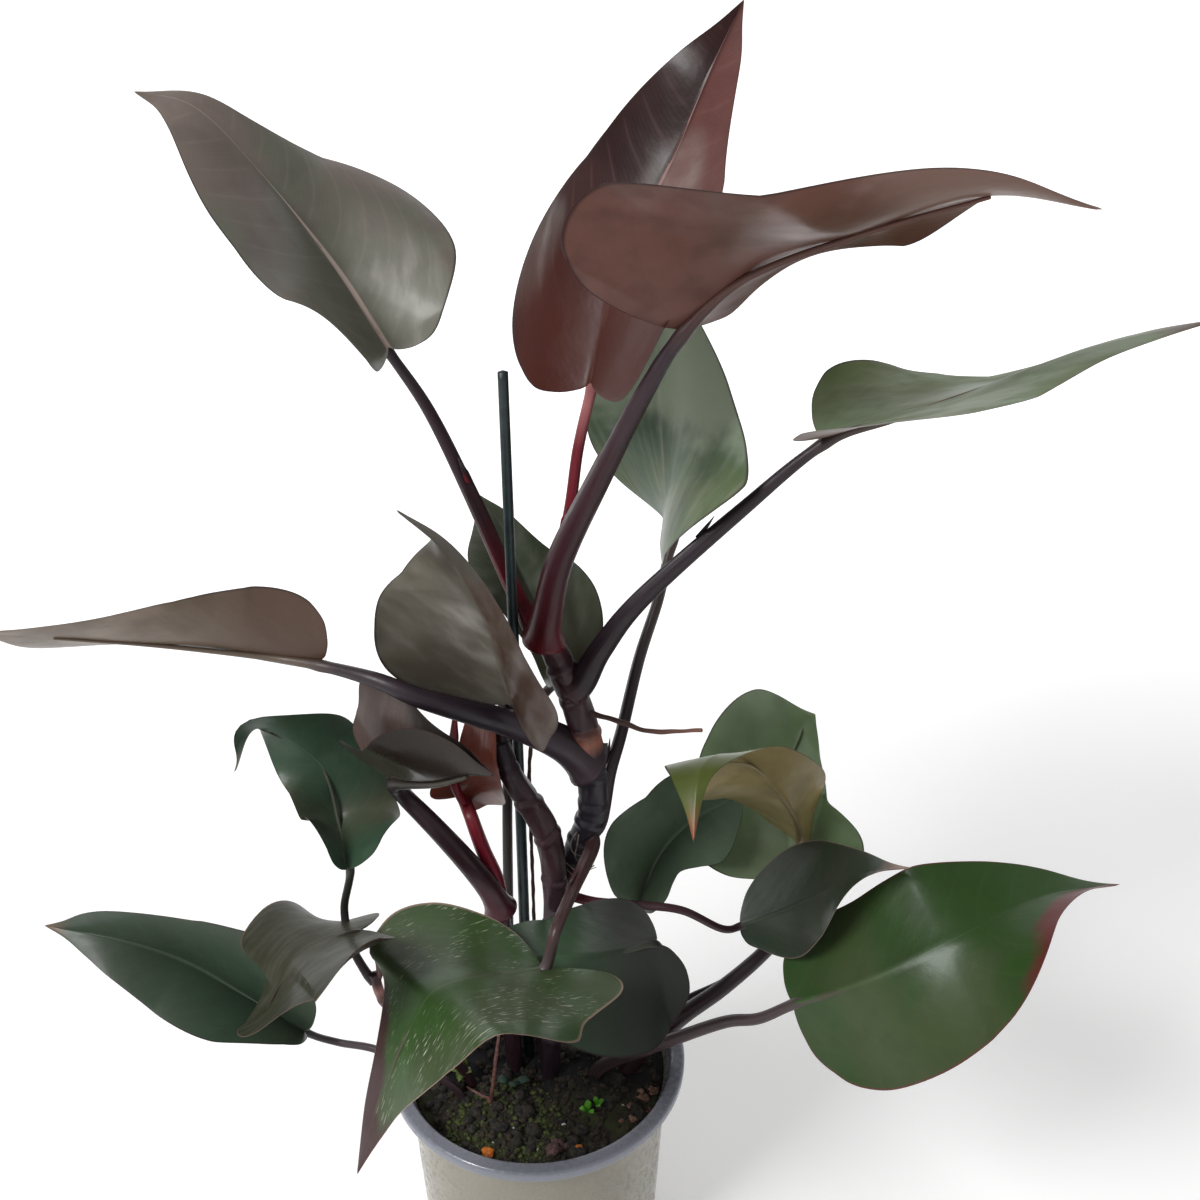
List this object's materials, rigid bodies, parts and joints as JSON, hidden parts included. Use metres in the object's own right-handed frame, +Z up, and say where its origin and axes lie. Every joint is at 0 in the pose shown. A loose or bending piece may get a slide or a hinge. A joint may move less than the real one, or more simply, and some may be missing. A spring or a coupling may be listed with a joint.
{
  "type": "potted new red philodendron",
  "caption": "Potted climbing aroid: leafy stems with long red stalks and glossy heart-shaped leaves, standing in soil in a plain tapered pot.",
  "frame": {"origin": "middle of the pot's underside, where the pot's axis meets the surface it stands on", "axes": "+Z up along the pot's axis, -Y to the front as pictured, +X to the right"},
  "size_m": [0.5772, 0.2761, 0.7013],
  "materials": {
    "stem": "smooth bark, ringed, dark purple-brown",
    "leaf_top_right": "waxy leaf with lighter veins",
    "leaf_top_left": "waxy leaf with lighter veins",
    "leaf_top_middle": "waxy leaf with lighter veins",
    "leaf_right": "waxy leaf with lighter veins",
    "leaf_left": "waxy leaf with lighter veins",
    "leaf_back": "waxy leaf with lighter veins",
    "leaf_front": "waxy leaf with lighter veins",
    "leaf_right_small": "waxy leaf with lighter veins",
    "leaf_centre": "waxy leaf with lighter veins",
    "leaf_folded": "waxy leaf with lighter veins",
    "leaf_new": "waxy leaf with lighter veins",
    "leaf_left_low": "waxy leaf with lighter veins",
    "leaf_small": "waxy leaf with lighter veins",
    "leaf_inner_back": "waxy leaf with lighter veins",
    "leaf_low_left": "waxy leaf with lighter veins",
    "leaf_front_middle": "waxy leaf with lighter veins",
    "leaf_low_right": "waxy leaf with lighter veins",
    "leaf_back_small": "waxy leaf with lighter veins",
    "leaf_drooping": "waxy leaf with lighter veins",
    "leaf_back_right": "waxy leaf with lighter veins",
    "root": "dry, brown",
    "young_leaf": "glossy, dark red",
    "stick": "satin, dark green-grey",
    "pot": "moulded, satin, beige-grey",
    "soil": "damp, lumpy, dark brown"
  },
  "bodies": {
    "root": {"stem_main": "stem", "stem_second": "stem", "stem_third": "stem", "stem_left": "stem", "leaf_top_right": "leaf_top_right", "leaf_top_left": "leaf_top_left", "leaf_top_middle": "leaf_top_middle", "leaf_right": "leaf_right", "leaf_left": "leaf_left", "leaf_back": "leaf_back", "leaf_front": "leaf_front", "leaf_right_small": "leaf_right_small", "leaf_centre": "leaf_centre", "leaf_folded": "leaf_folded", "leaf_new": "leaf_new", "leaf_left_low": "leaf_left_low", "leaf_small": "leaf_small", "leaf_inner_back": "leaf_inner_back", "leaf_low_left": "leaf_low_left", "leaf_front_middle": "leaf_front_middle", "leaf_low_right": "leaf_low_right", "leaf_back_small": "leaf_back_small", "leaf_drooping": "leaf_drooping", "leaf_back_right": "leaf_back_right", "aerial_root": "root", "hanging_root": "root", "rolled_leaf": "young_leaf", "support_stick": "stick", "pot": "pot", "soil": "soil"}
  },
  "joints": []
}
